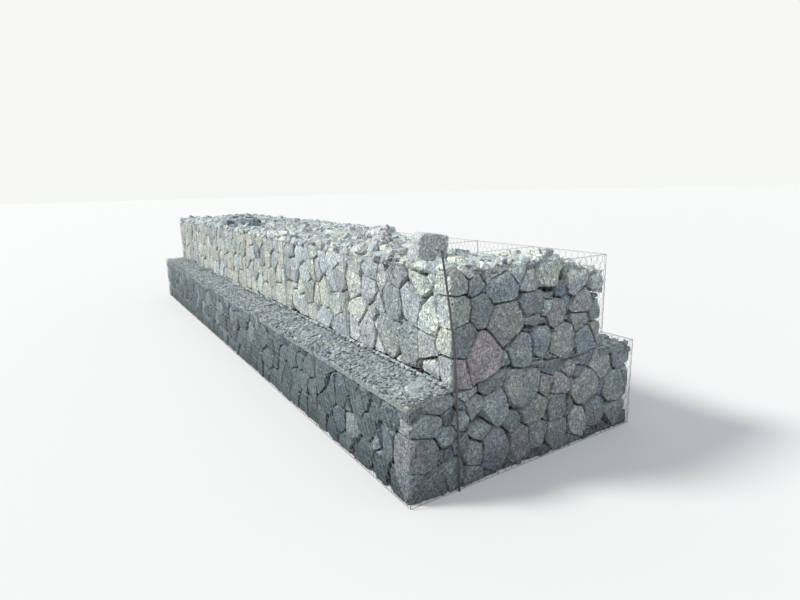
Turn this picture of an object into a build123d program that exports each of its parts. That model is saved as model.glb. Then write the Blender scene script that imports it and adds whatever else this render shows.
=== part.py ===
from build123d import *
import math
import os

os.makedirs("parts", exist_ok=True)

# A gabion retaining wall in two courses, in millimetres.
# X runs along the wall with its seen end at +X, Y from the front to the back, Z up.
bay_count = 6
bay_length = 2000
cells_per_box = 2
box_width = 1000
box_height = 1000
base_boxes = 3
upper_boxes = 2
front_bench = 450

# Two selvedge wires and their lacing, as one square bar along each edge of the boxes.
edge_wire = 8

# The biggest stones of the fill: layers in a box, and the place of each layer's upright joint as
# a share of the box.
layers_per_box = 3
joint_shares = (0.56, 0.34, 0.63)
joint_width = 70
joint_depth = 60
joint_lean = 70

# Form of the granite fill, whose top is heaped stone.
bench_round = 60
heap_height = 100
heap_shoulder = 110
shoulder_rise = 70
end_round = 60
wave_height = 20
wave_length = 3300
lump_height = 55
lumps_per_cell = 2

# The bays at the near end aren't filled up to the back rim, and their back panels stand clear.
open_bays = 2
slope_from_front = 1380
knee_from_front = 1750
knee_drop = 100
back_drop = 200

# Woven mesh with vertical double twists.
mesh_width = 80
twist_length = 45
slant_rise = 30
mesh_wire = 3
twist_wire = 5
mesh_rows = 3

# Bowed bar that stands against the near end.
bar_diameter = 20
bar_foot_inset = 527
bar_bow = 20
bar_top_inset = 345
bar_height = 2210

# Loose stones on the top, placed from the near end or the start of a bay, and from the front.
block_length = 250
block_width = 380
block_height = 220
block_from_end = 770
block_from_front = 312
heap_sink = 60
pale_heap_bay = 2
pale_heap_into_bay = 500
pale_heap_from_front = 770
pale_heap_length = 460
pale_heap_width = 320
pale_heap_height = 170
dark_heap_bay = 4
dark_heap_into_bay = 1400
dark_heap_from_front = 380
dark_heap_length = 2100
dark_heap_width = 480
dark_heap_height = 190

wall_length = bay_count * bay_length
near_end = (wall_length - bar_diameter) / 2
far_end = near_end - wall_length
base_front = -base_boxes * box_width / 2
upper_front = base_front + front_bench
base_top = box_height
upper_rim = 2 * box_height
cell_length = bay_length / cells_per_box


def wire_spans(start, pitch, count):
    """Each panel's wire along one axis: the outer two inside the box, the others on its planes."""
    inset = [edge_wire / 2] + [0] * (count - 1) + [-edge_wire / 2]
    centres = [start + k * pitch + inset[k] for k in range(count + 1)]
    return [(centre - edge_wire / 2, centre + edge_wire / 2) for centre in centres]


def bay_spans(bay):
    """Wires across one bay, counted from the near end."""
    return wire_spans(near_end - bay * bay_length, cell_length, cells_per_box)


def spaces_between(spans):
    return [(before[1], after[0]) for before, after in zip(spans, spans[1:])]


def cuboid(x, y, z):
    size = [high - low for low, high in (x, y, z)]
    centre = [(high + low) / 2 for low, high in (x, y, z)]
    return Pos(*centre) * Box(*size)


def wire_frame(x_spans, y_spans, bottom):
    """A flat grid of edge wires, all fused where they cross."""
    level = (bottom, bottom + edge_wire)
    x_reach = (x_spans[0][0], x_spans[-1][1])
    y_reach = (y_spans[0][0], y_spans[-1][1])
    rails = [cuboid(x_reach, span, level) for span in y_spans]
    ties = [cuboid(span, y_reach, level) for span in x_spans]
    return rails[0].fuse(*rails[1:], *ties)


def cage(x_spans, y_spans, bottom, post_top):
    """Bottom frame with a post at each corner and each end of a diaphragm."""
    frame = wire_frame(x_spans, y_spans, bottom)
    posts = [
        cuboid(x, y, (bottom + edge_wire, post_top))
        for x in x_spans
        for y in y_spans
    ]
    return frame.fuse(*posts)


def prism_along_wall(points):
    """Cross-section in Y and Z, drawn out over the whole wall."""
    outline = Polyline([(far_end, y, z) for y, z in points], close=True)
    return extrude(make_face(outline), amount=wall_length, dir=(1, 0, 0))


def face_line(y, inward, bottom, top):
    """Up the outer face of a course: a notch at each joint between two layers of stone."""
    points = [(y, bottom)]
    layer = box_height / layers_per_box
    for k in range(1, layers_per_box):
        joint = bottom + k * layer
        points.append((y, joint - joint_width / 2))
        points.append((y + inward * joint_depth, joint))
        points.append((y, joint + joint_width / 2))
    return points + [(y, top)]


def base_section():
    back = -base_front
    return [
        *face_line(base_front, 1, 0, base_top - bench_round),
        (base_front + bench_round * 0.3, base_top - bench_round * 0.3),
        (base_front + bench_round, base_top),
        (back - bench_round, base_top),
        (back - bench_round * 0.3, base_top - bench_round * 0.3),
        *reversed(face_line(back, -1, 0, base_top - bench_round)),
    ]


def height_at(line, y):
    """Height of a line of points between two of them."""
    for (before, low), (after, high) in zip(line, line[1:]):
        if before <= y <= after:
            return low + (high - low) * (y - before) / (after - before)


def upper_section(back_line):
    """Upper course up to its heaped top, with the given line down to the back."""
    line = [
        (upper_front + heap_shoulder, upper_rim + shoulder_rise),
        (upper_front + box_width, upper_rim + heap_height),
        *back_line,
    ]
    rows = 2 * lumps_per_cell * upper_boxes
    stony = []
    for k in range(1, rows):
        y = upper_front + k * upper_boxes * box_width / rows
        sunk = lump_height if k % 2 == 0 else 0
        stony.append((y, height_at(line, y) - sunk))
    return [
        *face_line(upper_front, 1, base_top, upper_rim),
        (upper_front + heap_shoulder * 0.3, upper_rim + shoulder_rise * 0.7),
        line[0],
        *stony,
        *[point for point in back_line if point[0] > stony[-1][0]],
        *reversed(face_line(upper_back, -1, base_top, back_line[-1][1])[:-1]),
    ]


def long_section(bottom, top_line):
    """Along the wall, with the layers' joints in both ends, drawn out from front to back."""
    near = face_line(near_end, -1, bottom, top_line[-1][1])
    far = face_line(far_end, 1, bottom, top_line[0][1])
    points = [*far[:-1], *top_line, *reversed(near[:-1])]
    outline = Polyline([(x, base_front, z) for x, z in points], close=True)
    return extrude(make_face(outline), amount=base_boxes * box_width, dir=(0, 1, 0))


def heaped_top():
    """The heap along the wall: gently wavy, lumpy with stones and rounded off at both ends."""
    crown = upper_rim + heap_height
    points = [(far_end, crown - end_round)]
    rows = 2 * lumps_per_cell * bay_count * cells_per_box
    for k in range(1, rows):
        x = far_end + k * wall_length / rows
        wave = math.cos(2 * math.pi * (near_end - x) / wave_length)
        sunk = lump_height if k % 2 == 0 else 0
        points.append((x, crown - wave_height * (1 - wave) / 2 - sunk))
    return points + [(near_end, crown - end_round)]


def upright_joints(start, end, inward, bottom):
    """Leaning wedges between the stones of each layer of one box."""
    run = end - start
    along = run.normalized()
    across = along * joint_width / 2
    layer = box_height / layers_per_box
    joints = []
    for row in range(layers_per_box):
        lean = along * joint_lean * (-1) ** row
        share = joint_shares[row % len(joint_shares)]
        place = start + run * share - lean / 2 + Vector(0, 0, bottom + row * layer)
        corners = [place - across, place + across, place + inward * joint_depth * 0.9]
        wedge = Solid.extrude(make_face(Polyline(corners, close=True)).face(), lean + Vector(0, 0, layer))
        joints.append((place, wedge))
    return joints


def course_joints(front, boxes, bottom):
    """The upright joints all round one course."""
    back = front + boxes * box_width
    joints = []
    for k in range(bay_count * cells_per_box):
        low, high = far_end + k * cell_length, far_end + (k + 1) * cell_length
        joints += upright_joints(Vector(low, front), Vector(high, front), Vector(0, 1), bottom)
        joints += upright_joints(Vector(low, back), Vector(high, back), Vector(0, -1), bottom)
    for k in range(boxes):
        low, high = front + k * box_width, front + (k + 1) * box_width
        joints += upright_joints(Vector(near_end, low), Vector(near_end, high), Vector(-1, 0), bottom)
        joints += upright_joints(Vector(far_end, low), Vector(far_end, high), Vector(1, 0), bottom)
    return joints


def fill_cells(mass, joints, x_spans, y_spans, bottom, top):
    """The solids of stone between the wires of one bay."""
    solids = []
    for x in spaces_between(x_spans):
        for y in spaces_between(y_spans):
            cell = mass & cuboid(x, y, (bottom, top))
            wedges = [
                wedge
                for place, wedge in joints
                if x[0] - edge_wire <= place.X <= x[1] + edge_wire
                and y[0] - edge_wire <= place.Y <= y[1] + edge_wire
            ]
            solids.append(cell.cut(*wedges) if wedges else cell)
    return solids


def hexagon(pitch):
    """Opening of the mesh, between the twists and the slanted wires."""
    half_width = (pitch - twist_wire) / 2
    half_twist = twist_length / 2
    tip = half_twist + slant_rise - mesh_wire / 2
    return [
        (half_width, half_twist - mesh_wire / 4),
        (0, tip),
        (-half_width, half_twist - mesh_wire / 4),
        (-half_width, -half_twist + mesh_wire / 4),
        (0, -tip),
        (half_width, -half_twist + mesh_wire / 4),
    ]


def mesh_strip(x_span, y_centre, top):
    """Woven mesh that fills one panel's width, hung from the rim."""
    width = x_span[1] - x_span[0]
    columns = max(1, round(width / mesh_width))
    pitch = width / columns
    row_pitch = twist_length + slant_rise
    height = mesh_rows * row_pitch
    sheet = Rectangle(width, height)
    openings = []
    for row in range(mesh_rows + 1):
        shift = pitch / 2 if row % 2 == 0 else 0
        for column in range(columns + 1):
            place = Pos(column * pitch - width / 2 + shift, height / 2 - row * row_pitch)
            openings.append(place * make_face(Polyline(hexagon(pitch), close=True)))
    woven = sheet - openings
    plane = Plane(((x_span[0] + x_span[1]) / 2, y_centre, top - height / 2), x_dir=(1, 0, 0), z_dir=(0, -1, 0))
    return extrude(plane * woven, amount=mesh_wire / 2, both=True)


def loose_block():
    """One big angular stone: a box whose corners are broken off."""
    stone = Box(block_length, block_width, block_height + heap_sink)
    stone &= Rot(0, 0, 38) * Box(block_width * 1.12, block_width * 1.05, block_height * 3)
    stone &= Rot(14, 10, 0) * Box(block_width * 1.3, block_width * 1.5, block_height * 1.15 + heap_sink)
    return stone


def stone_heap(length, width, height):
    """Three tapered masses leaning together."""
    depth = height + heap_sink
    pieces = [
        Rot(0, 0, 8) * Rectangle(length * 0.55, width),
        Pos(length * 0.26, width * 0.05) * Rot(0, 0, -14) * Rectangle(length * 0.42, width * 0.75),
        Pos(-length * 0.27, -width * 0.06) * Rot(0, 0, 20) * Rectangle(length * 0.4, width * 0.7),
    ]
    tops = [depth, depth * 0.8, depth * 0.7]
    masses = [extrude(piece, amount=top, taper=24) for piece, top in zip(pieces, tops)]
    return masses[0].fuse(*masses[1:])


def guide_bar():
    """Round bar that bows from its foot towards the front corner of the upper course."""
    x = near_end + bar_diameter / 2
    foot = Vector(x, base_front + bar_foot_inset, 0)
    tip = Vector(x, base_front + bar_top_inset, bar_height)
    middle = (foot + tip) / 2 + Vector(0, bar_bow, 0)
    line = ThreePointArc(foot, middle, tip)
    lowest = Plane(foot, z_dir=(0, 0, 1))
    bar = sweep(lowest * Circle(bar_diameter / 2), path=line)
    return bar


def save(pieces, name):
    shape = pieces[0] if len(pieces) == 1 else Compound(children=pieces)
    export_step(shape, f"parts/{name}.step")


upper_back = upper_front + upper_boxes * box_width
heaped_back = [
    (upper_back - heap_shoulder, upper_rim + shoulder_rise),
    (upper_back - heap_shoulder * 0.3, upper_rim + shoulder_rise * 0.7),
    (upper_back, upper_rim),
]
sloping_back = [
    (upper_front + slope_from_front, upper_rim + shoulder_rise),
    (upper_front + knee_from_front, upper_rim - knee_drop),
    (upper_back, upper_rim - back_drop),
]

base_mass = prism_along_wall(base_section()) & long_section(0, [(far_end, base_top), (near_end, base_top)])
envelope = long_section(base_top, heaped_top())
heaped_mass = prism_along_wall(upper_section(heaped_back)) & envelope
sloping_mass = prism_along_wall(upper_section(sloping_back)) & envelope

base_lines = wire_spans(base_front, box_width, base_boxes)
upper_lines = wire_spans(upper_front, box_width, upper_boxes)
base_joints = course_joints(base_front, base_boxes, 0)
upper_joints = course_joints(upper_front, upper_boxes, base_top)
upper_cells = []
for number in range(1, bay_count + 1):
    stations = bay_spans(number)
    mass = sloping_mass if number <= open_bays else heaped_mass
    cells = fill_cells(mass, upper_joints, stations, upper_lines, base_top, upper_rim + heap_height)
    upper_cells += cells
    save(fill_cells(base_mass, base_joints, stations, base_lines, 0, base_top), f"base_fill_{number}")
    save(cells, f"upper_fill_{number}")
    save([cage(stations, base_lines, 0, base_top - edge_wire)], f"base_cage_{number}")
    save([wire_frame(stations, base_lines, base_top - edge_wire)], f"base_lid_{number}")
    basket = cage(stations, upper_lines, base_top, upper_rim - edge_wire)
    rim = wire_frame(stations, upper_lines, upper_rim - edge_wire)
    save([basket.fuse(rim)], f"upper_cage_{number}")
    if number <= open_bays:
        strips = [
            mesh_strip(panel, upper_back - edge_wire / 2, upper_rim - edge_wire)
            for panel in spaces_between(stations)
        ]
        save(strips, f"back_mesh_{number}")

heap_base = upper_rim + heap_height - wave_height - heap_sink
block_centre = heap_base + (block_height + heap_sink) / 2
pale_heap_x = near_end - (pale_heap_bay - 1) * bay_length - pale_heap_into_bay
dark_heap_x = near_end - (dark_heap_bay - 1) * bay_length - dark_heap_into_bay
placed = {
    "corner_block": Pos(near_end - block_from_end, upper_front + block_from_front, block_centre) * loose_block(),
    "pale_heap": Pos(pale_heap_x, upper_front + pale_heap_from_front, heap_base)
    * stone_heap(pale_heap_length, pale_heap_width, pale_heap_height),
    "dark_heap": Pos(dark_heap_x, upper_front + dark_heap_from_front, heap_base)
    * stone_heap(dark_heap_length, dark_heap_width, dark_heap_height),
}
for name, stone in placed.items():
    save([stone.cut(*upper_cells)], name)
save([guide_bar()], "guide_bar")
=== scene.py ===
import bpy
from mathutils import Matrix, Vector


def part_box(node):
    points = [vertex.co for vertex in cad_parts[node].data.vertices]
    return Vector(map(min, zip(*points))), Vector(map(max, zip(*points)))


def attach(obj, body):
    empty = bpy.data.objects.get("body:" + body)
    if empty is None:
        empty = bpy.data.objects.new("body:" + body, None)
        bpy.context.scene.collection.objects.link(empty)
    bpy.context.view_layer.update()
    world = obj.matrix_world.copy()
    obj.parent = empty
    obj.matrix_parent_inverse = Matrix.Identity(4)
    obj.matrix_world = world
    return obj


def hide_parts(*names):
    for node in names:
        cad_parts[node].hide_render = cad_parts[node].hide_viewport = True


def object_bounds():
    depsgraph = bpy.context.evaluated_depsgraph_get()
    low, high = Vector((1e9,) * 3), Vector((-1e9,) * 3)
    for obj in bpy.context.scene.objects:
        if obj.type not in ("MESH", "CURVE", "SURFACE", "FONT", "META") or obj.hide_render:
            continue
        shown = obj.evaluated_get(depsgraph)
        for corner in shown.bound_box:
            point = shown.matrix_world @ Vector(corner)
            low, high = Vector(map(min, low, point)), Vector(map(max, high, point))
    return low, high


bl_info = {
    "name": "Gabion wall",
    "version": (1, 0, 0),
    "blender": (4, 5, 0),
    "location": "3D View > Sidebar > Gabion",
    "description": "Packed granite, rubble and woven wire for a two-course gabion wall",
    "category": "Add Mesh",
}

import math
import random
from collections import namedtuple

import bmesh
import bpy
import numpy as np
from bpy.props import FloatProperty, FloatVectorProperty, IntProperty, PointerProperty
from mathutils import Matrix, Vector, noise
from mathutils.bvhtree import BVHTree

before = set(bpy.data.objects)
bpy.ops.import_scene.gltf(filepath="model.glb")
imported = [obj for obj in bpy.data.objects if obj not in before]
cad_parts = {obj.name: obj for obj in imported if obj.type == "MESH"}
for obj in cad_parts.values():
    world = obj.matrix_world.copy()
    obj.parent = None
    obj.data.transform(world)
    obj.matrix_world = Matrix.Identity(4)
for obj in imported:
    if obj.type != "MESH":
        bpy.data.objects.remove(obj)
cad_low, cad_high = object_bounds()

# Blender starts its vector noise from the clock unless it is given a seed.
noise.seed_set(7)

# Places taken from the frame, in metres.
BAYS = len([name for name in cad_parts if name.startswith("base_fill_")])
END_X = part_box("base_cage_1")[1].x
FAR_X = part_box(f"base_cage_{BAYS}")[0].x
BAY_LENGTH = (END_X - FAR_X) / BAYS
BASE_FRONT, BASE_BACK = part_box("base_cage_1")[0].y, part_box("base_cage_1")[1].y
UPPER_FRONT, UPPER_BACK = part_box("upper_cage_1")[0].y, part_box("upper_cage_1")[1].y
BASE_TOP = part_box("base_lid_1")[1].z
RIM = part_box("upper_cage_1")[1].z
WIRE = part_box("base_lid_1")[1].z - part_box("base_lid_1")[0].z
OPEN_BAYS = len([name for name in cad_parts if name.startswith("back_mesh_")])
SPANS = {"base": (BASE_FRONT, BASE_BACK), "upper": (UPPER_FRONT, UPPER_BACK)}

# Sizes of what lies over the solids, in metres.
FACE_DEPTH = 0.13
FACE_INSET = 0.0085
RIM_INSET = 0.07
FOOT_INSET = 0.075
CORE_DEPTH = 0.19
BED_THICKNESS = 0.05
SETTLED = 0.13
MESH_INSET = 0.0045
MESH_RADIUS = 0.0014
SELVEDGE_RADIUS = 0.0019
LACING_RADIUS = 0.0011
LACING_PITCH = 0.10
LACING_REACH = 0.0027
CELL_WIDTH = 0.082
TWIST = 0.045
SLANT = 0.032
JOINT_WAVE = 0.10
JOINT_GAP = 0.003
BENCH_DROP = 0.035
BENCH_BED = 0.050
TOP_BED = 0.045
MESH_PLAY = 0.0022
MESH_SWAY = 0.006
FLOOR_GAP = 0.001
TOP_SPAN = (UPPER_FRONT + FACE_INSET, UPPER_BACK - FACE_INSET)

# The upward direction, and the angles under which edges are shaded smooth.
UP = (0.0, 0.0, 1.0)
STONE_SMOOTH = math.radians(22)
RUBBLE_SMOOTH = math.radians(25)

# The camera that took the photo: turned from +Y towards the far end, tipped down, and rolled a little.
CAMERA_FROM_CORNER = Vector((3.397, -2.179, 2.698))
CAMERA_TURN = math.radians(57.96)
CAMERA_TIP = math.radians(11.94)
CAMERA_ROLL = math.radians(-1.39)
CAMERA_LENS = 23.66
SENSOR_WIDTH = 36.0
PHOTO_WIDTH, PHOTO_HEIGHT = 800, 600

# Stone colours: the cool shaded end, the front paler with dust and painted sunlight, the base front dark
# with painted shade, and the mixed rubble.
TONES = {
    # Near black: painted shade for the inner fill seen through the gaps.
    "inner_shade": (0.075, 0.092, 0.104),
    # Dark with painted shade, for the base front.
    "wet": (0.084, 0.120, 0.132),
    "shade": (0.116, 0.156, 0.170),
    "dark": (0.135, 0.160, 0.176),
    "slate": (0.205, 0.240, 0.262),
    "plum": (0.240, 0.260, 0.288),
    "grey": (0.270, 0.314, 0.338),
    "moss": (0.254, 0.296, 0.296),
    "green": (0.318, 0.360, 0.360),
    "blue": (0.320, 0.370, 0.398),
    "warm": (0.350, 0.366, 0.368),
    "pink": (0.380, 0.345, 0.372),
    "pale": (0.392, 0.426, 0.432),
    "ice": (0.412, 0.462, 0.482),
    "sand": (0.458, 0.470, 0.430),
    "bright": (0.462, 0.520, 0.518),
    "cream": (0.490, 0.542, 0.494),
    "white": (0.565, 0.620, 0.562),
    "dusty": (0.620, 0.636, 0.602),
    "rose": (0.520, 0.475, 0.480),
}
# The base front's tones are dark with painted shade.
LOW_MIX = "shade wet shade slate shade wet shade".split()
# The upper front's tones, near and far, are paler with dust and with painted sunlight.
HIGH_MIX = "pale cream bright sand cream green pale bright".split()
FAR_MIX = "sand cream sand pale sand green sand bright".split()
BACK_MIX = "grey moss green slate blue warm grey".split()
RUBBLE_MIX = "slate moss shade grey moss slate".split()
RIM_MIX = "ice dusty white ice dusty bright dusty".split()
EDGE_MIX = "pale green blue green sand pale green".split()
TOP_MIX = "pale warm green sand cream warm grey".split()
CRUMB_MIX = "grey green moss green".split()
END_MIX = "dark slate moss grey".split()
BAR_RUST = (0.100, 0.088, 0.078)
BACKDROP = (0.93, 0.93, 0.92, 1.0)

# A stone that shows in the photo: the pixel of its middle, half its size in metres, its colour.
PhotoStone = namedtuple("PhotoStone", "px py half tone")
UPPER_END_STONES = (
    PhotoStone(453, 285, 0.13, "pale"),
    PhotoStone(456, 263, 0.11, "bright"),
    PhotoStone(470, 270, 0.10, "ice"),
    PhotoStone(466, 288, 0.12, "blue"),
    PhotoStone(480, 285, 0.11, "grey"),
    PhotoStone(485, 262, 0.10, "bright"),
    PhotoStone(490, 274, 0.09, "ice"),
    PhotoStone(503, 276, 0.12, "pale"),
    PhotoStone(506, 261, 0.09, "cream"),
    PhotoStone(519, 273, 0.13, "ice"),
    PhotoStone(534, 284, 0.14, "pale"),
    PhotoStone(552, 272, 0.20, "white"),
    PhotoStone(581, 279, 0.18, "pale"),
    PhotoStone(568, 260, 0.08, "white"),
    PhotoStone(599, 281, 0.12, "warm"),
    PhotoStone(506, 290, 0.19, "blue"),
    PhotoStone(487, 313, 0.18, "grey"),
    PhotoStone(461, 316, 0.18, "green"),
    PhotoStone(509, 326, 0.25, "warm"),
    PhotoStone(534, 304, 0.17, "grey"),
    PhotoStone(549, 308, 0.10, "ice"),
    PhotoStone(559, 314, 0.15, "warm"),
    PhotoStone(585, 303, 0.17, "warm"),
    PhotoStone(583, 322, 0.16, "pale"),
    PhotoStone(568, 324, 0.08, "warm"),
    PhotoStone(535, 317, 0.12, "grey"),
    PhotoStone(601, 312, 0.13, "grey"),
    PhotoStone(599, 330, 0.14, "warm"),
    PhotoStone(465, 342, 0.20, "plum"),
    PhotoStone(488, 356, 0.26, "pink"),
    PhotoStone(526, 353, 0.20, "grey"),
    PhotoStone(510, 364, 0.13, "grey"),
    PhotoStone(545, 342, 0.17, "grey"),
    PhotoStone(567, 340, 0.21, "pale"),
    PhotoStone(588, 340, 0.18, "grey"),
    PhotoStone(463, 371, 0.15, "pink"),
    PhotoStone(556, 367, 0.13, "grey"),
    PhotoStone(539, 371, 0.10, "blue"),
    PhotoStone(532, 333, 0.07, "dark"),
)
BASE_END_STONES = (
    PhotoStone(584, 356, 0.14, "slate"),
    PhotoStone(581, 371, 0.11, "slate"),
    PhotoStone(603, 366, 0.15, "pale"),
    PhotoStone(622, 358, 0.16, "grey"),
    PhotoStone(572, 371, 0.10, "warm"),
    PhotoStone(436, 403, 0.22, "green"),
    PhotoStone(473, 390, 0.16, "pale"),
    PhotoStone(492, 384, 0.17, "slate"),
    PhotoStone(480, 409, 0.16, "grey"),
    PhotoStone(464, 405, 0.09, "slate"),
    PhotoStone(465, 422, 0.12, "blue"),
    PhotoStone(500, 408, 0.21, "grey"),
    PhotoStone(524, 392, 0.24, "green"),
    PhotoStone(514, 422, 0.17, "slate"),
    PhotoStone(537, 410, 0.18, "moss"),
    PhotoStone(548, 387, 0.12, "warm"),
    PhotoStone(563, 386, 0.14, "warm"),
    PhotoStone(560, 407, 0.17, "grey"),
    PhotoStone(589, 388, 0.22, "green"),
    PhotoStone(618, 386, 0.22, "green"),
    PhotoStone(580, 420, 0.17, "bright"),
    PhotoStone(596, 412, 0.16, "plum"),
    PhotoStone(615, 410, 0.17, "grey"),
    PhotoStone(629, 420, 0.08, "dark"),
    PhotoStone(486, 431, 0.16, "moss"),
    PhotoStone(499, 449, 0.23, "plum"),
    PhotoStone(521, 444, 0.19, "plum"),
    PhotoStone(538, 435, 0.17, "grey"),
    PhotoStone(559, 434, 0.18, "moss"),
    PhotoStone(546, 452, 0.08, "dark"),
    PhotoStone(477, 455, 0.16, "green"),
    PhotoStone(463, 448, 0.11, "slate"),
    PhotoStone(430, 427, 0.20, "grey"),
    PhotoStone(447, 420, 0.13, "dark"),
    PhotoStone(445, 438, 0.14, "grey"),
    PhotoStone(424, 458, 0.22, "plum"),
    PhotoStone(450, 457, 0.09, "dark"),
    PhotoStone(441, 458, 0.09, "slate"),
    PhotoStone(455, 477, 0.18, "moss"),
    PhotoStone(434, 491, 0.22, "slate"),
    PhotoStone(474, 479, 0.15, "grey"),
    PhotoStone(415, 487, 0.17, "slate"),
    PhotoStone(491, 471, 0.06, "dark"),
)
# The pale front stones are paler with dust and with painted sunlight.
UPPER_FRONT_STONES = (
    PhotoStone(441, 274, 0.15, "cream"),
    PhotoStone(428, 277, 0.09, "cream"),
    PhotoStone(416, 269, 0.17, "cream"),
    PhotoStone(437, 294, 0.22, "white"),
    PhotoStone(415, 285, 0.20, "cream"),
    PhotoStone(408, 305, 0.24, "ice"),
    PhotoStone(425, 318, 0.22, "white"),
    PhotoStone(443, 322, 0.20, "cream"),
    # This moss stone and the green ones at the left are darker with a painted cast shadow.
    PhotoStone(405, 343, 0.22, "moss"),
    PhotoStone(422, 346, 0.20, "pale"),
    PhotoStone(443, 353, 0.23, "cream"),
    PhotoStone(427, 371, 0.20, "pale"),
    PhotoStone(447, 379, 0.14, "pale"),
    PhotoStone(387, 334, 0.24, "green"),
    PhotoStone(390, 303, 0.22, "green"),
    PhotoStone(393, 271, 0.20, "green"),
)
# The base front's stones are dark with painted shade.
BASE_FRONT_STONES = (
    PhotoStone(402, 410, 0.17, "shade"),
    PhotoStone(399, 436, 0.20, "shade"),
    PhotoStone(400, 462, 0.18, "shade"),
    PhotoStone(394, 484, 0.18, "wet"),
    PhotoStone(387, 416, 0.17, "wet"),
    PhotoStone(384, 444, 0.18, "shade"),
    PhotoStone(385, 396, 0.14, "slate"),
    PhotoStone(379, 468, 0.16, "wet"),
)

# Length of the front whose stones are taken from the photo one by one, in metres.
PHOTO_RUN = {"base": 0.72, "upper": 1.32}

# Pixels along the bar, from its foot to its top.
BAR_LINE = ((460, 490), (459, 451), (457, 405), (455, 355), (449, 302), (443, 260), (441, 250))


def clamp(value, low, high):
    return min(max(value, low), high)


def rise(height, x, y, step):
    """How fast a height rises along x and along y."""
    along_x = (height(x + step, y) - height(x - step, y)) / (2 * step)
    along_y = (height(x, y + step) - height(x, y - step)) / (2 * step)
    return along_x, along_y


def camera_axes():
    """Right, up and forward of the camera."""
    flat = Vector((-math.sin(CAMERA_TURN), math.cos(CAMERA_TURN), 0))
    ahead = flat * math.cos(CAMERA_TIP) - Vector((0, 0, math.sin(CAMERA_TIP)))
    level = Vector((math.cos(CAMERA_TURN), math.sin(CAMERA_TURN), 0))
    over = level.cross(ahead)
    right = level * math.cos(CAMERA_ROLL) + over * math.sin(CAMERA_ROLL)
    up = over * math.cos(CAMERA_ROLL) - level * math.sin(CAMERA_ROLL)
    return right, up, ahead


def camera_place():
    return Vector((END_X, BASE_FRONT, 0)) + CAMERA_FROM_CORNER


def point_on_face(stone, axis, value):
    """Where the line of sight through a photo pixel meets the plane axis = value."""
    right, up, ahead = camera_axes()
    focal = CAMERA_LENS / SENSOR_WIDTH * PHOTO_WIDTH
    sight = ahead * focal + right * (stone.px - PHOTO_WIDTH / 2) - up * (stone.py - PHOTO_HEIGHT / 2)
    eye = camera_place()
    return eye + sight * ((value - eye[axis]) / sight[axis])


class HeapTop:
    """Height of the heaped fill of the upper course, read from its solids."""

    def __init__(self):
        points, faces = [], []
        for bay in range(1, BAYS + 1):
            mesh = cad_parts[f"upper_fill_{bay}"].data
            start = len(points)
            points += [vertex.co.copy() for vertex in mesh.vertices]
            faces += [[start + corner for corner in polygon.vertices] for polygon in mesh.polygons]
        self.tree = BVHTree.FromPolygons(points, faces)

    def at(self, x, y):
        margin = 2 * WIRE
        x = clamp(x, FAR_X + margin, END_X - margin)
        y = clamp(y, UPPER_FRONT + margin, UPPER_BACK - margin)
        for nudge in (0, margin, -margin):
            hit = self.tree.ray_cast(Vector((x + nudge, y + nudge, cad_high.z + 1)), Vector((0, 0, -1)))
            if hit[0] is not None and hit[0].z > (BASE_TOP + RIM) / 2:
                return hit[0].z - self.sunk(x, y)
        return RIM

    def sunk(self, x, y):
        """How far the loose fill of the first bay has settled towards the back, behind its rim."""
        behind_end = clamp((END_X - 0.22 - x) / 0.25, 0.0, 1.0)
        fading = clamp((x - END_X + 1.35 * BAY_LENGTH) / 0.8, 0.0, 1.0)
        across = clamp((y - UPPER_FRONT - 0.65) / 0.6, 0.0, 1.0)
        return SETTLED * behind_end * fading * across

    def slope(self, x, y):
        rise_x, rise_y = rise(self.at, x, y, 0.08)
        return Vector((-rise_x, -rise_y, 1)).normalized()


heap_top = HeapTop()


class MeshStore:
    """Points, faces and a colour for each point, gathered into one mesh."""

    def __init__(self):
        self.points, self.faces, self.tones = [], [], []

    def add(self, points, faces, tone):
        start = len(self.points)
        self.points += [tuple(point) for point in points]
        self.faces += [tuple(start + corner for corner in face) for face in faces]
        self.tones += [(*tone, 1.0)] * len(points)

    def build(self, name, material, smooth_angle=None):
        mesh = bpy.data.meshes.new(name)
        points = np.clip(self.points, tuple(cad_low), tuple(cad_high))
        mesh.from_pydata(points.tolist(), [], self.faces)
        layer = mesh.attributes.new("stone_tone", "FLOAT_COLOR", "POINT")
        layer.data.foreach_set("color", np.array(self.tones, np.float32).ravel())
        mesh.materials.append(material)
        mesh.update()
        piece = bpy.data.objects.new(name, mesh)
        bpy.context.scene.collection.objects.link(piece)
        if smooth_angle:
            select_only(piece)
            bpy.ops.object.shade_smooth_by_angle(angle=smooth_angle)
        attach(piece, "root")
        return piece


def select_only(piece):
    bpy.ops.object.select_all(action="DESELECT")
    piece.select_set(True)
    bpy.context.view_layer.objects.active = piece


def varied(tone, rng, spread=0.10):
    """A stone's colour with a little change in lightness and warmth."""
    light = 1 + rng.uniform(-spread, spread)
    warm = rng.uniform(-0.02, 0.02)
    red, green, blue = TONES[tone]
    return (red * light * (1 + warm), green * light, blue * light * (1 - warm))


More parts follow.
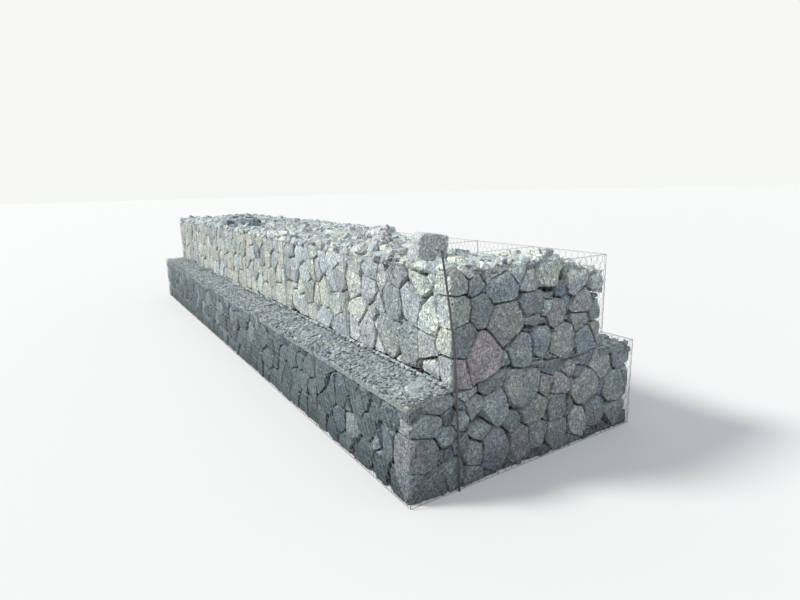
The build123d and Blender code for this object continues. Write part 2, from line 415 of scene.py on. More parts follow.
# Packed stones. Each takes the space that is nearer to it than to its neighbours, as stones laid by
# hand in a basket do, so its shape can't come from a primitive. Lengths are in metres, and the leans
# STEEP and FLAT in degrees.
Seed = namedtuple("Seed", "place half tone detail")
REACH = 0.36
WEDGED = 0.080
AT_FACE = 1.7 * FACE_DEPTH
GAPS = (0.0005, 0.0005, 0.001, 0.003, 0.008, 0.024)
SET_BACK = (0.0, 0.002, 0.005, 0.010)
CORNER_SLANTS = ((0.5, 0.018), (0.25, 0.009), (0.75, 0.009))
CHIPS = (5, 6, 7)
CORNER_CHIPS = 3
CHIP_DEPTHS = (0.003, 0.006, 0.012, 0.024, 0.050)
FACET_DEPTHS = (0.010, 0.034)
STEEP, FLAT = (62, 88), (10, 36)
SHALLOW, AT_CORNER = 0.008, 0.010
BIG = 0.16
WEDGES = {"end": 16, "front": 9}
ROOM_TRIES = 600
CROWN_DEPTH = 0.24
FIFTH_TURN = 1.257
DUST_AND_SKYLIGHT_BAND = 0.21

# How far points merge, how wide edges wear, the longest edge and the roughness, by how near a stone is.
WEAR = {
    "near": (0.008, 0.003, 0.030, 0.0100),
    "middle": (0.016, 0.008, 0.075, 0.0085),
    "far": (0.030, 0.012, 0.0, 0.0),
}


def wall_faces(course):
    """Outer faces of a course as (axis, side, value)."""
    front, back = SPANS[course]
    return (
        (0, 1, END_X - FACE_INSET),
        (0, -1, FAR_X + FACE_INSET),
        (1, -1, front + FACE_INSET),
        (1, 1, back - FACE_INSET),
    )


def between(seed, other, gap):
    """Plane between two stones, nearer to the smaller one."""
    across = other.place - seed.place
    distance = across.length
    share = (distance**2 + seed.half**2 - other.half**2) / (2 * distance)
    normal = across / distance
    return seed.place + normal * (share - gap / 2), normal


def near_faces(seed, course, reach):
    """Outward directions of the wall faces that a stone shows in, and how far it lies behind each."""
    found = []
    for axis, side, value in wall_faces(course):
        depth = side * (value - seed.place[axis])
        if depth <= reach:
            outward = Vector((0, 0, 0))
            outward[axis] = side
            found.append((axis, outward, depth))
    return found


def face_planes(seed, course, rng):
    """Cuts that give a stone its flat outer face, a little back and tilted."""
    planes = []
    shown = []
    for _, outward, depth in near_faces(seed, course, REACH):
        on_face = seed.place + outward * depth
        planes.append((on_face, outward))
        if depth <= AT_FACE:
            shown.append((outward, depth))
            tilt = Vector([rng.uniform(-0.09, 0.09) for _ in range(3)])
            if course == "base" and seed.place.z < 0.22:
                tilt.z = abs(tilt.z)
            back = rng.choice(SET_BACK)
            if seed.half < WEDGED:
                back = rng.uniform(0.010, 0.035)
            planes.append((on_face - outward * back, (outward + tilt).normalized()))
    if len(shown) == 2:
        (first, first_depth), (second, second_depth) = shown
        corner = seed.place + first * first_depth + second * second_depth
        for share, most in CORNER_SLANTS:
            slant = (first * share + second * (1 - share)).normalized()
            slant = (slant + Vector((0, 0, rng.uniform(-0.25, 0.25)))).normalized()
            planes.append((corner - slant * rng.uniform(0.25, 1.0) * most, slant))
    return planes


def joint(x, y):
    """Height where the two courses meet: the lower one's lid bulges and sags between its wires."""
    wave = JOINT_WAVE * noise.noise(Vector((x * 1.9, y * 1.9, 5.0)))
    beside_bench = min(y - UPPER_FRONT, UPPER_BACK - y) < 0.25 and x < END_X - 0.30
    return BASE_TOP + (min(wave, -0.004) if beside_bench else wave)


def joint_lean(x, y, rng):
    """Upward direction of the joint under a stone, with a little of the stone's own."""
    rises = [slope + rng.uniform(-0.05, 0.05) for slope in rise(joint, x, y, 0.1)]
    return Vector((-rises[0], -rises[1], 1)).normalized()


def course_planes(seed, course, bay, rng):
    """Cuts that keep a stone inside its own course and bay."""
    low_x = END_X - bay * BAY_LENGTH
    x, y = seed.place.x, seed.place.y
    planes = [
        (Vector((low_x + JOINT_GAP, 0, 0)), Vector((-1, 0, 0))),
        (Vector((low_x + BAY_LENGTH - JOINT_GAP, 0, 0)), Vector((1, 0, 0))),
    ]
    if course == "base":
        planes.append((Vector((0, 0, FLOOR_GAP)), Vector((0, 0, -1))))
        on_bench = y < UPPER_FRONT - 0.02 or y > UPPER_BACK + 0.02
        top = BASE_TOP - BENCH_DROP if on_bench else joint(x, y) - JOINT_GAP
        top -= rng.uniform(0, 0.012)
        planes.append((Vector((x, y, top)), joint_lean(x, y, rng)))
        for outer, side in ((BASE_FRONT, -1), (BASE_BACK, 1)):
            round_off = Vector((rng.uniform(-0.1, 0.1), side * rng.uniform(0.5, 0.9), 1)).normalized()
            planes.append((Vector((x, outer, BASE_TOP - rng.uniform(0.09, 0.12))), round_off))
    else:
        planes.append((Vector((x, y, joint(x, y) + JOINT_GAP)), -joint_lean(x, y, rng)))
        sunk = rng.uniform(0.0, 0.035)
        slope = heap_top.slope(x, y) + Vector((rng.uniform(-0.2, 0.2), rng.uniform(-0.2, 0.2), 0))
        crown = Vector((x, y, heap_top.at(x, y) - sunk))
        planes.append((crown, slope.normalized()))
        if crown.z - seed.place.z < CROWN_DEPTH:
            turn = rng.uniform(0, 2 * math.pi)
            for side in range(5):
                toward = turn + side * FIFTH_TURN
                out = Vector((math.cos(toward), math.sin(toward), 0))
                brow = crown + out * seed.half * rng.uniform(0.3, 0.6)
                planes.append((brow, (out * rng.uniform(0.4, 0.9) + Vector((0, 0, 1))).normalized()))
    return planes


def cut_away(stone, place, normal):
    """Cuts off what lies beyond a plane and closes the cut."""
    if all((vertex.co - place).dot(normal) <= 0 for vertex in stone.verts):
        return
    everything = stone.verts[:] + stone.edges[:] + stone.faces[:]
    cut = bmesh.ops.bisect_plane(
        stone, geom=everything, plane_co=place, plane_no=normal, clear_outer=True
    )
    rim = [edge for edge in cut["geom_cut"] if isinstance(edge, bmesh.types.BMEdge)]
    if stone.verts:
        bmesh.ops.holes_fill(stone, edges=rim, sides=0)


def cut_stone(seed, planes):
    """A block at the seed, cut by each plane in turn; None where nothing is left."""
    stone = bmesh.new()
    bmesh.ops.create_cube(stone, size=2 * REACH, matrix=Matrix.Translation(seed.place))
    for place, normal in planes:
        cut_away(stone, place, normal)
        if len(stone.faces) < 4:
            stone.free()
            return None
    return stone


def chip_stone(stone, seed, course, rng):
    """Breaks corners off the outline of a stone's face and splits the face into facets."""
    faces = near_faces(seed, course, AT_FACE)
    for axis, outward, _ in faces:
        for chip in range(rng.choice(CHIPS)):
            spin = rng.uniform(0, 2 * math.pi)
            along = Vector((0, math.cos(spin), math.sin(spin)))
            if axis == 1:
                along = Vector((math.cos(spin), 0, math.sin(spin)))
            if chip < CORNER_CHIPS:
                lean, depth = math.radians(rng.uniform(*STEEP)), rng.choice(CHIP_DEPTHS)
            else:
                lean, depth = math.radians(rng.uniform(*FLAT)), rng.uniform(*FACET_DEPTHS)
            on_floor = course == "base" and seed.place.z < 0.2 and along.z < -0.3
            if on_floor or any(along.dot(other) > 0.4 for _, other, _ in faces):
                depth = min(depth, SHALLOW)
            elif len(faces) > 1:
                depth = min(depth, AT_CORNER)
            normal = outward * math.cos(lean) + along * math.sin(lean)
            reach = max(vertex.co.dot(normal) for vertex in stone.verts)
            cut_away(stone, normal * (reach - depth * min(1.0, seed.half / BIG)), normal)
            if len(stone.faces) < 4:
                return


def broken_surface(place):
    """How far rough granite stands out of its facets, in shares of its roughness."""
    swell = noise.fractal(place * 9, 1.0, 2.0, 2, noise_basis="PERLIN_ORIGINAL")
    hackles = noise.fractal(place * 24, 0.8, 2.2, 3, noise_basis="VORONOI_F2F1")
    return 0.8 * swell + 0.65 * (hackles - 0.4)


def weather_stone(stone, seed, course):
    """Rounds a cut stone's edges and roughens its broken faces, finely where it is seen near by."""
    merge, bevel, longest, rough = WEAR[seed.detail]
    edge_wear = {"offset": bevel, "segments": 1, "affect": "EDGES", "clamp_overlap": True}
    bmesh.ops.remove_doubles(stone, verts=stone.verts[:], dist=merge)
    bmesh.ops.bevel(stone, geom=stone.edges[:], **edge_wear)
    bmesh.ops.triangulate(stone, faces=stone.faces[:])
    if not longest:
        return
    faces = wall_faces(course)

    def shows(edge):
        middle = (edge.verts[0].co + edge.verts[1].co) / 2
        near = any(side * (value - middle[axis]) < 0.07 for axis, side, value in faces)
        return near or middle.z > RIM - 0.12

    for _ in range(5):
        long_edges = [
            edge for edge in stone.edges if edge.calc_length() > longest * (1 if shows(edge) else 3)
        ]
        if not long_edges:
            break
        bmesh.ops.subdivide_edges(stone, edges=long_edges, cuts=1)
        bmesh.ops.triangulate(stone, faces=stone.faces[:])
    stone.normal_update()
    for vertex in stone.verts:
        vertex.co += vertex.normal * broken_surface(vertex.co) * rough


def keep_inside(point, course):
    """Holds a stone's points behind the woven wire."""
    for axis, side, value in wall_faces(course):
        if side * (point[axis] - value) > 0:
            point[axis] = value
    point.z = max(point.z, FLOOR_GAP)
    return point


def sun_and_dust_stone(store, start, seed):
    """Colours a stone of the near end: its front where it turns the corner takes the paler front tone as
    painted sunlight, and its top by the rim turns paler with dust and painted skylight.
    """
    if END_X - seed.place.x > AT_FACE:
        return
    own = random.Random(f"corner {seed.place.z:.2f}")
    pale = varied(own.choice(HIGH_MIX), own)
    turns = seed.place.y - UPPER_FRONT < AT_FACE
    dusty = Vector(TONES["white"])
    top = heap_top.at(seed.place.x, seed.place.y)
    for index in range(start, len(store.points)):
        x, y, z = store.points[index]
        # Painted sunlight: the corner's front side takes the paler front tone.
        if turns and y - UPPER_FRONT < END_X - x:
            store.tones[index] = (*pale, 1.0)
        # Dust and painted skylight: a band under the top turns towards white.
        elif z > top - DUST_AND_SKYLIGHT_BAND:
            share = 0.9 * min(1.0, (z - top + DUST_AND_SKYLIGHT_BAND) / 0.14)
            tone = Vector(store.tones[index][:3]).lerp(dusty, share)
            store.tones[index] = (*tone, 1.0)


def pack_stones(name, seeds, course, bay, material, rng):
    """Cuts and joins the stones of one course in one bay."""
    store = MeshStore()
    for seed in seeds:
        planes = course_planes(seed, course, bay, rng) + face_planes(seed, course, rng)
        for other in seeds:
            if other is seed or (other.place - seed.place).length > 2 * REACH:
                continue
            gap = rng.choice(GAPS)
            planes.append(between(seed, other, gap))
        stone = cut_stone(seed, planes)
        if stone is None:
            continue
        chip_stone(stone, seed, course, rng)
        weather_stone(stone, seed, course)
        stone.normal_update()
        points = [keep_inside(vertex.co.copy(), course) for vertex in stone.verts]
        stone.verts.index_update()
        faces = [[vertex.index for vertex in face.verts] for face in stone.faces]
        start = len(store.points)
        store.add(points, faces, varied(seed.tone, rng))
        if course == "upper" and bay == 1:
            sun_and_dust_stone(store, start, seed)
        stone.free()
    return store.build(name, material, smooth_angle=STONE_SMOOTH)


def photo_seeds(course):
    """Seeds of the stones that the photo shows one by one."""
    front, back = SPANS[course]
    ends, fronts = BASE_END_STONES, BASE_FRONT_STONES
    if course == "upper":
        ends, fronts = UPPER_END_STONES, UPPER_FRONT_STONES
    seeds = []
    for stone in ends:
        place = point_on_face(stone, 0, END_X)
        place.x -= FACE_DEPTH
        place.y = clamp(place.y, front + 0.09, back - 0.10)
        seeds.append(Seed(place, stone.half, stone.tone, "near"))
    for stone in fronts:
        place = point_on_face(stone, 1, front)
        place.y += FACE_DEPTH
        place.x = min(place.x, END_X - 0.09)
        if min((place - seed.place).length for seed in seeds) > 0.14:
            seeds.append(Seed(place, stone.half, stone.tone, "near"))
    return seeds


def behind(face, depth, z, along):
    """A place at some depth behind a face, given by its height and how far along the face it lies."""
    axis, side, value = face
    place = Vector((0, 0, z))
    place[axis] = value - side * depth
    place[1 - axis] = along
    return place


def face_seeds(course, face, span, tones, detail, rng, pitch=0.29):
    """Seeds in loose staggered rows behind one face of one bay."""
    bottom, top = (0, BASE_TOP) if course == "base" else (BASE_TOP, RIM + 0.06)
    rows = round((top - bottom) / (pitch * 0.92))
    columns = max(1, round((span[1] - span[0]) / pitch))
    seeds = []
    for row in range(rows):
        for column in range(columns):
            stagger = 0.5 * (row % 2) - 0.25
            shift = column + 0.5 + stagger + rng.uniform(-0.3, 0.3)
            along = span[0] + (span[1] - span[0]) * shift / columns
            along = clamp(along, span[0] + 0.08, span[1] - 0.08)
            z = bottom + (top - bottom) * (row + 0.5 + rng.uniform(-0.3, 0.3)) / rows
            place = behind(face, FACE_DEPTH + rng.uniform(-0.02, 0.02), z, along)
            if course == "upper":
                place.z = min(place.z, heap_top.at(place.x, place.y) - 0.08)
            seeds.append(Seed(place, pitch * rng.uniform(0.30, 0.58), rng.choice(tones), detail))
    return seeds


def wedge_seeds(seeds, course, face, span, tones, count, rng):
    """Seeds of small stones wedged into one face, where the big ones leave the most room."""
    bottom, top = (0.03, BASE_TOP - 0.08) if course == "base" else (BASE_TOP + 0.05, RIM - 0.10)
    spots = []
    for _ in range(ROOM_TRIES):
        place = behind(face, FACE_DEPTH, rng.uniform(bottom, top), rng.uniform(*span))
        room = min((place - seed.place).length_squared - seed.half**2 for seed in seeds)
        spots.append((room, place))
    spots.sort(key=lambda spot: -spot[0])
    wedged = []
    for _, place in spots:
        if all((place - other.place).length > 0.17 for other in wedged):
            wedged.append(Seed(place, rng.uniform(0.045, WEDGED), rng.choice(tones), "near"))
        if len(wedged) == count:
            break
    return wedged


def thinned(seeds, closest):
    """Leaves out seeds that crowd one already kept."""
    kept = []
    for seed in seeds:
        if all((seed.place - other.place).length > closest for other in kept):
            kept.append(seed)
    return kept


def bay_seeds(course, bay, rng):
    """All the seeds of one course in one bay, the photographed stones first."""
    front, back = SPANS[course]
    high_x = END_X - (bay - 1) * BAY_LENGTH
    low_x = high_x - BAY_LENGTH
    front_tones = LOW_MIX if course == "base" else HIGH_MIX if bay < 3 else FAR_MIX
    detail = "middle" if bay <= 2 else "far"
    seeds = photo_seeds(course) if bay == 1 else []
    front_high = high_x - PHOTO_RUN[course] if bay == 1 else high_x
    near_end, far_end, front_face, back_face = (0, 1, END_X), (0, -1, FAR_X), (1, -1, front), (1, 1, back)
    if bay == BAYS:
        seeds += face_seeds(course, far_end, (front + 0.05, back - 0.05), BACK_MIX, "far", rng)
    seeds += face_seeds(course, front_face, (low_x + 0.03, front_high), front_tones, detail, rng)
    seeds += face_seeds(course, back_face, (low_x + 0.03, high_x - 0.03), BACK_MIX, "far", rng, 0.32)
    if bay == 1:
        end_span, front_span = (front + 0.10, back - 0.10), (high_x - 1.3, high_x - 0.10)
        seeds += wedge_seeds(seeds, course, near_end, end_span, END_MIX, WEDGES["end"], rng)
        seeds += wedge_seeds(seeds, course, front_face, front_span, front_tones, WEDGES["front"], rng)
    if course == "upper":
        for row in range(4):
            y = front + (back - front) * (row + 1.2) / 5.4
            for column in range(5):
                x = low_x + BAY_LENGTH * (column + 0.5 + rng.uniform(-0.25, 0.25)) / 5
                place = Vector((x, y + rng.uniform(-0.08, 0.08), 0))
                if place.x > END_X - 0.32 or (bay == 1 and place.y < front + 0.30):
                    continue
                place.z = heap_top.at(place.x, place.y) - rng.uniform(0.13, 0.17)
                seeds.append(Seed(place, rng.uniform(0.10, 0.18), rng.choice(front_tones), detail))
    return thinned(seeds, 0.15 if bay > 1 else 0.085)


# Rubble: a few broken pieces are modelled once, and copied many times over. Spans are shares of the
# mean size, but for the crumbs, which are in metres, and steps run along the sides of the course.
BENCH_SPANS = (0.7, 0.8, 0.95, 1.1, 1.6)
TOP_SPANS = (0.6, 0.8, 0.9, 1.1, 1.4, 1.8)
RIM_SPANS = (0.8, 1.0, 1.2, 1.5)
CRUMB_SPANS = (0.026, 0.034, 0.045, 0.060)
CRUMB_STEP = 0.032
RIM_STEPS = (("near", 0.95), ("far", 1.2), ("front", 1.1), ("back", 1.4))
FOOT_STEPS = (("front", 0.13), ("back", 0.15), ("far", 0.12), ("near", 0.085))


def placed_cube(middle, size):
    """A box of a given size, alone selected and open for editing."""
    bpy.ops.object.select_all(action="DESELECT")
    bpy.ops.mesh.primitive_cube_add(size=1)
    block = bpy.context.object
    block.scale = size
    block.location = middle
    bpy.ops.object.transform_apply(location=True, rotation=True, scale=True)
    bpy.ops.object.mode_set(mode="EDIT")
    bpy.ops.mesh.select_all(action="SELECT")
    return block


def bevel_all(offset, merge):
    """Wears every edge of the mesh that is open for editing."""
    bpy.ops.mesh.bevel(offset=offset, segments=1, affect="EDGES", clamp_overlap=True)
    bpy.ops.mesh.select_all(action="SELECT")
    if merge:
        bpy.ops.mesh.remove_doubles(threshold=merge)


def broken_piece(cuts, rng, bevel=0.0):
    """One angular stone, about 1 m across until it is scaled, with worn edges if it is to be seen."""
    bpy.ops.object.select_all(action="DESELECT")
    bpy.ops.mesh.primitive_cube_add(size=0.9)
    stone = bpy.context.object
    bpy.ops.object.mode_set(mode="EDIT")
    for _ in range(cuts):
        lean = Vector([rng.gauss(0, 1) for _ in range(3)]).normalized()
        place = lean * rng.uniform(0.33, 0.47)
        bpy.ops.mesh.select_all(action="SELECT")
        bpy.ops.mesh.bisect(plane_co=place, plane_no=lean, use_fill=True, clear_outer=True)
    bpy.ops.mesh.select_all(action="SELECT")
    bpy.ops.mesh.remove_doubles(threshold=0.14)
    if bevel:
        bevel_all(bevel, bevel / 2)
    bpy.ops.mesh.quads_convert_to_tris()
    bpy.ops.object.mode_set(mode="OBJECT")
    points = np.array([vertex.co[:] for vertex in stone.data.vertices])
    faces = [tuple(polygon.vertices) for polygon in stone.data.polygons]
    bpy.data.objects.remove(stone)
    return points, faces


def place_rubble(store, pieces, spot, size, tone, rng, squash=0.75):
    """One copy of a broken piece, turned at random and partly bedded."""
    points, faces = rng.choice(pieces)
    turn = Matrix.Rotation(rng.uniform(0, 2 * math.pi), 3, "Z")
    turn = turn @ Matrix.Rotation(rng.uniform(-0.5, 0.5), 3, "X")
    turn = turn @ Matrix.Rotation(rng.uniform(0, 2 * math.pi), 3, "Y")
    shape = points * np.array([1.0, rng.uniform(0.6, 0.95), rng.uniform(0.6, 0.95)]) * size
    turned = shape @ np.array(turn).T
    turned[:, 2] *= squash
    store.add(turned + np.array(spot), faces, tone)


def scattered(low, high, spacing, rng):
    """Points spread unevenly over a rectangle, none much nearer than the spacing."""
    columns = max(1, round((high[0] - low[0]) / spacing))
    rows = max(1, round((high[1] - low[1]) / spacing))
    for column in range(columns):
        for row in range(rows):
            x = low[0] + (high[0] - low[0]) * (column + rng.uniform(0.05, 0.95)) / columns
            y = low[1] + (high[1] - low[1]) * (row + rng.uniform(0.05, 0.95)) / rows
            yield x, y


def around(course, inset, steps, rng, slack=0.0):
    """Spots spread unevenly along the sides of a course, given as side and step, each with its step."""
    far, near = FAR_X + inset, END_X - inset
    front, back = SPANS[course][0] + inset, SPANS[course][1] - inset
    runs = {
        "near": ((near, front), (near, back)),
        "far": ((far, front), (far, back)),
        "front": ((far, front), (near, front)),
        "back": ((far, back), (near, back)),
    }
    for side, step in steps:
        start, end = [Vector(corner) for corner in runs[side]]
        count = round((end - start).length / step)
        for index in range(count):
            yield start.lerp(end, (index + rng.uniform(slack, 1 - slack)) / count), step


def ground_bed(store, low, high, height, step, tone):
    """A closed uneven layer of small stones and dust under the loose rubble."""
    columns = max(2, round((high[0] - low[0]) / step))
    rows = max(2, round((high[1] - low[1]) / step))
    points = []
    for column in range(columns + 1):
        for row in range(rows + 1):
            x = low[0] + (high[0] - low[0]) * column / columns
            y = low[1] + (high[1] - low[1]) * row / rows
            lift = noise.fractal(Vector((x, y, 0)) * 14, 1.0, 2.0, 2) * 0.010
            points.append((x, y, height(x, y) + lift))
    top = len(points)
    points += [(x, y, z - BED_THICKNESS) for x, y, z in points]
    faces = []
    for column in range(columns):
        for row in range(rows):
            corner = column * (rows + 1) + row
            face = (corner, corner + rows + 1, corner + rows + 2, corner + 1)
            faces += [face, tuple(top + index for index in reversed(face))]
    border = list(range(rows + 1))
    border += [column * (rows + 1) + rows for column in range(1, columns + 1)]
    border += [columns * (rows + 1) + row for row in range(rows - 1, -1, -1)]
    border += [column * (rows + 1) for column in range(columns - 1, 0, -1)]
    for before, after in zip(border, border[1:] + border[:1]):
        faces.append((before, after, top + after, top + before))
    store.add(points, faces, tone)


def wire_tube(line, radius, sides, out):
    """Wire with a few sides along a line of points, closed at both ends."""
    line = np.asarray(line)
    ahead = np.gradient(line, axis=0)
    ahead /= np.linalg.norm(ahead, axis=1)[:, None]
    side = np.cross(ahead, np.array(out))
    side /= np.linalg.norm(side, axis=1)[:, None]
    over = np.cross(side, ahead)
    rings = []
    for corner in range(sides):
        angle = 2 * math.pi * corner / sides
        rings.append(line + radius * (math.cos(angle) * over + math.sin(angle) * side))
    points = np.stack(rings, axis=1).reshape(-1, 3)
    faces = []
    for ring in range(len(line) - 1):
        for corner in range(sides):
            a, b = sides * ring + corner, sides * ring + (corner + 1) % sides
            faces.append((a, b, b + sides, a + sides))
    last = sides * (len(line) - 1)
    faces.append(tuple(range(sides - 1, -1, -1)))
    faces.append(tuple(range(last, last + sides)))
    return points, faces


# Woven wire. Neighbouring wires twist together in turn with the one on each side.
def woven_lines(width, height, fine):
    """Lines of the wires of one panel, in its own width, height and outward directions."""
    columns = max(1, round(width / CELL_WIDTH))
    pitch = width / columns
    row_pitch = TWIST + SLANT
    steps = 6 if fine else 1
    lines = []
    for wire in range(2 * columns + 1):
        line = []
        for row in range(math.ceil(height / row_pitch) + 1):
            toward = 1 if (wire + row) % 2 == 0 else -1
            middle = wire * pitch / 2
            if 0 <= wire + toward <= 2 * columns:
                middle += toward * pitch / 4
            for step in range(steps + 1):
                v = row * row_pitch + TWIST * step / steps
                swing = math.pi * (1.5 * step / steps if fine else step)
                u = middle - toward * MESH_RADIUS * math.cos(swing)
                if v <= height + row_pitch / 2:
                    line.append((u, min(v, height), toward * MESH_RADIUS * math.sin(swing)))
        kept = line[:1]
        for point in line[1:]:
            if point[1] - kept[-1][1] > 1e-4:
                kept.append(point)
        lines.append(kept)
    return lines


def weave_panel(store, corner, across, along, width, height, fine):
    """Adds a woven panel that lies on a face, a little loose over its stones."""
    across, along = Vector(across), Vector(along)
    axes = np.array([across, along, across.cross(along)])
    for line in woven_lines(width, height, fine):
        placed = []
        for u, v, w in line:
            spot = Vector(corner) + across * u + along * v
            loose = noise.noise(spot * 3.1) * MESH_PLAY
            held = min(1.0, u / 0.08, (width - u) / 0.08)
            sway = noise.noise(spot * 5.0 + Vector((7, 0, 0))) * MESH_SWAY * held
            placed.append((u + sway, v, w + loose))
        points, faces = wire_tube(placed, MESH_RADIUS, 3, UP)
        store.add(points @ axes + np.array(corner), faces, TONES["grey"])


def grey(level):
    return (level, level, level, 1.0)


class Shading:
    """The nodes of a material or of the world, and short ways to add to them."""

    def __init__(self, owner):
        owner.use_nodes = True
        self.owner = owner
        self.nodes, self.links = owner.node_tree.nodes, owner.node_tree.links
        self.nodes.clear()

    def add(self, kind, links=(), **values):
        """A node with links into its inputs, given as (input, output), and values in the others."""
        node = self.nodes.new(f"ShaderNode{kind}")
        for name, value in values.items():
            node.inputs[name.replace("_", " ")].default_value = value
        for name, output in links:
            self.links.new(output, node.inputs[name])
        return node

    def place(self):
        return self.add("TexCoord").outputs["Object"]

    def noise(self, place, scale, detail, roughness):
        """Noise over the object's own coordinates, as a value."""
        values = {"Scale": scale, "Detail": detail, "Roughness": roughness}
        return self.add("TexNoise", [("Vector", place)], **values).outputs["Fac"]

    def ramp(self, value, stops):
        """A colour that follows a value through stops of position and colour."""
        ramp = self.add("ValToRGB", [("Fac", value)])
        elements = ramp.color_ramp.elements
        elements[0].position, elements[0].color = stops[0]
        elements[1].position, elements[1].color = stops[-1]
        for position, color in stops[1:-1]:
            elements.new(position).color = color
        return ramp.outputs["Color"]

    def mix(self, factor, first, second, blend="MIX"):
        mix = self.nodes.new("ShaderNodeMix")
        mix.data_type = "RGBA"
        mix.blend_type = blend
        for name, value in (("Factor", factor), ("A", first), ("B", second)):
            if isinstance(value, (float, tuple)):
                mix.inputs[name].default_value = value
            else:
                self.links.new(value, mix.inputs[name])
        return mix.outputs["Result"]

    def height_of(self, vector):
        return self.add("SeparateXYZ", [("Vector", vector)]).outputs["Z"]

    def painted_foot_shade(self, place, color):
        """Darkens a colour towards the foot, as painted shade near the ground."""
        stops = [(0.0, grey(0.50)), (0.30, grey(0.84)), (0.80, grey(1.0))]
        return self.mix(1.0, color, self.ramp(self.height_of(place), stops), "MULTIPLY")

    def seen_ray(self):
        """1 for what the camera sees, directly, in a gloss or through glass, and 0 for the light."""
        path = self.add("LightPath")
        seen = path.outputs["Is Camera Ray"]
        for kind in ("Is Glossy Ray", "Is Transmission Ray"):
            either = self.add("Math", [(0, seen), (1, path.outputs[kind])])
            either.operation = "MAXIMUM"
            seen = either.outputs[0]
        return seen

    def finish(self, color, roughness):
        """The finished material, with its colour and how rough it is."""
        self.links.new(color, self.shader.inputs["Base Color"])
        self.shader.inputs["Roughness"].default_value = roughness
        return self.owner


def new_material(name):
    """A material with one shader, ready for its nodes."""
    shading = Shading(bpy.data.materials.new(name))
    shading.shader = shading.add("BsdfPrincipled")
    shading.add("OutputMaterial", [("Surface", shading.shader.outputs["BSDF"])])
    return shading


def granite_material(name, dust_color, dust, grain):
    """Broken granite: mineral grains, blotches, dark flecks, pale dust on top and painted shade towards
    the foot.
    """
    shading = new_material(name)
    place = shading.place()
    tone = shading.add("Attribute")
    tone.attribute_name = "stone_tone"
    color = tone.outputs["Color"]
    grains = [(0.32, grey(0.42)), (0.46, grey(0.84)), (0.56, grey(1.12)), (0.70, grey(1.80))]
    sparkle = [(0.36, grey(0.62)), (0.5, grey(1.0)), (0.66, grey(1.45))]
    patches = [(0.34, (0.82, 0.82, 0.84, 1)), (0.50, grey(1.0)), (0.66, (1.20, 1.18, 1.14, 1))]
    hues = [(0.36, (0.98, 0.99, 1.04, 1)), (0.50, grey(1.0)), (0.64, (1.05, 1.01, 0.96, 1))]
    layers = (
        (grain, 3, 0.7, grains),
        (grain * 2.7, 2, 0.6, sparkle),
        (8.0, 4, 0.6, patches),
        (3.1, 3, 0.5, hues),
    )
    for scale, detail, roughness, stops in layers:
        layer = shading.ramp(shading.noise(place, scale, detail, roughness), stops)
        color = shading.mix(1.0, color, layer, "MULTIPLY")
    flecks = shading.noise(place, grain * 1.6, 2, 0.5)
    dark = shading.ramp(flecks, [(0.31, grey(0.85)), (0.37, grey(0.0))])
    color = shading.mix(dark, color, (0.050, 0.060, 0.070, 1.0))
    facing = shading.height_of(shading.add("NewGeometry").outputs["Normal"])
    upward = shading.ramp(facing, [(0.25, grey(0.0)), (0.85, grey(1.0))])
    settled = shading.noise(place, 26.0, 3, 0.6)
    cover = shading.ramp(settled, [(0.35, grey(0.0)), (0.65, grey(dust))])
    dusty = shading.mix(1.0, upward, cover, "MULTIPLY")
    color = shading.painted_foot_shade(place, shading.mix(dusty, color, (*dust_color, 1.0)))
    shading.shader.inputs["Specular IOR Level"].default_value = 0.3
    facets = shading.add("TexVoronoi", [("Vector", place)], Scale=17.0).outputs["Distance"]
    hackles = shading.noise(place, 48.0, 5, 0.72)
    bump = shading.add("Bump", [("Height", facets)], Strength=0.45, Distance=0.022)
    links = [("Height", hackles), ("Normal", bump.outputs["Normal"])]
    bump = shading.add("Bump", links, Strength=0.8, Distance=0.012)
    shading.links.new(bump.outputs["Normal"], shading.shader.inputs["Normal"])
    return shading.finish(color, 0.9)


def wire_material(name, bright, dull):
    """Galvanised wire gone dull in patches, with painted shade towards the foot."""
    shading = new_material(name)
    place = shading.place()
    wear = shading.noise(place, 18.0, 4, 0.6)
    color = shading.ramp(wear, [(0.35, (*dull, 1.0)), (0.62, (*bright, 1.0))])
    shading.shader.inputs["Metallic"].default_value = 0.3
    return shading.finish(shading.painted_foot_shade(place, color), 0.6)


def floor_material(color, under):
    """Pale to the camera, and darker to the light that it throws back at the wall's foot."""
    shading = new_material("pale_floor")
    return shading.finish(shading.mix(shading.seen_ray(), (*under, 1.0), (*color, 1.0)), 0.95)


# Settings that a user would change.
def color_setting(name, description, default):
    return FloatVectorProperty(
        name=name, description=description, default=default, size=3, subtype="COLOR"
    )


def number_setting(name, description, default, **limits):
    return FloatProperty(name=name, description=description, default=default, **limits)


class GabionStoneSettings(bpy.types.PropertyGroup):
    seed: IntProperty(name="Seed", description="Changes how the hidden stones lie", default=7, min=0)
    speckle: number_setting("Speckle", "Mineral grains to a metre", 44.0, min=10.0)
    dust: number_setting("Dust", "Pale dust on upward faces", 0.62, min=0, max=1)
    dust_color: color_setting("Dust colour", "Colour of the dust", (0.50, 0.54, 0.50))
    bench_size: number_setting("Bench rubble", "Mean size of the bench rubble", 0.042, unit="LENGTH")
    top_size: number_setting("Top rubble", "Mean size of the rubble on the top", 0.105, unit="LENGTH")


class GabionWireSettings(bpy.types.PropertyGroup):
    bright: color_setting("Bright", "Clean galvanised wire", (0.30, 0.31, 0.31))
    dull: color_setting("Dull", "Weathered wire", (0.155, 0.160, 0.160))
    bar: color_setting("Bar", "The dark bar", (0.085, 0.094, 0.098))


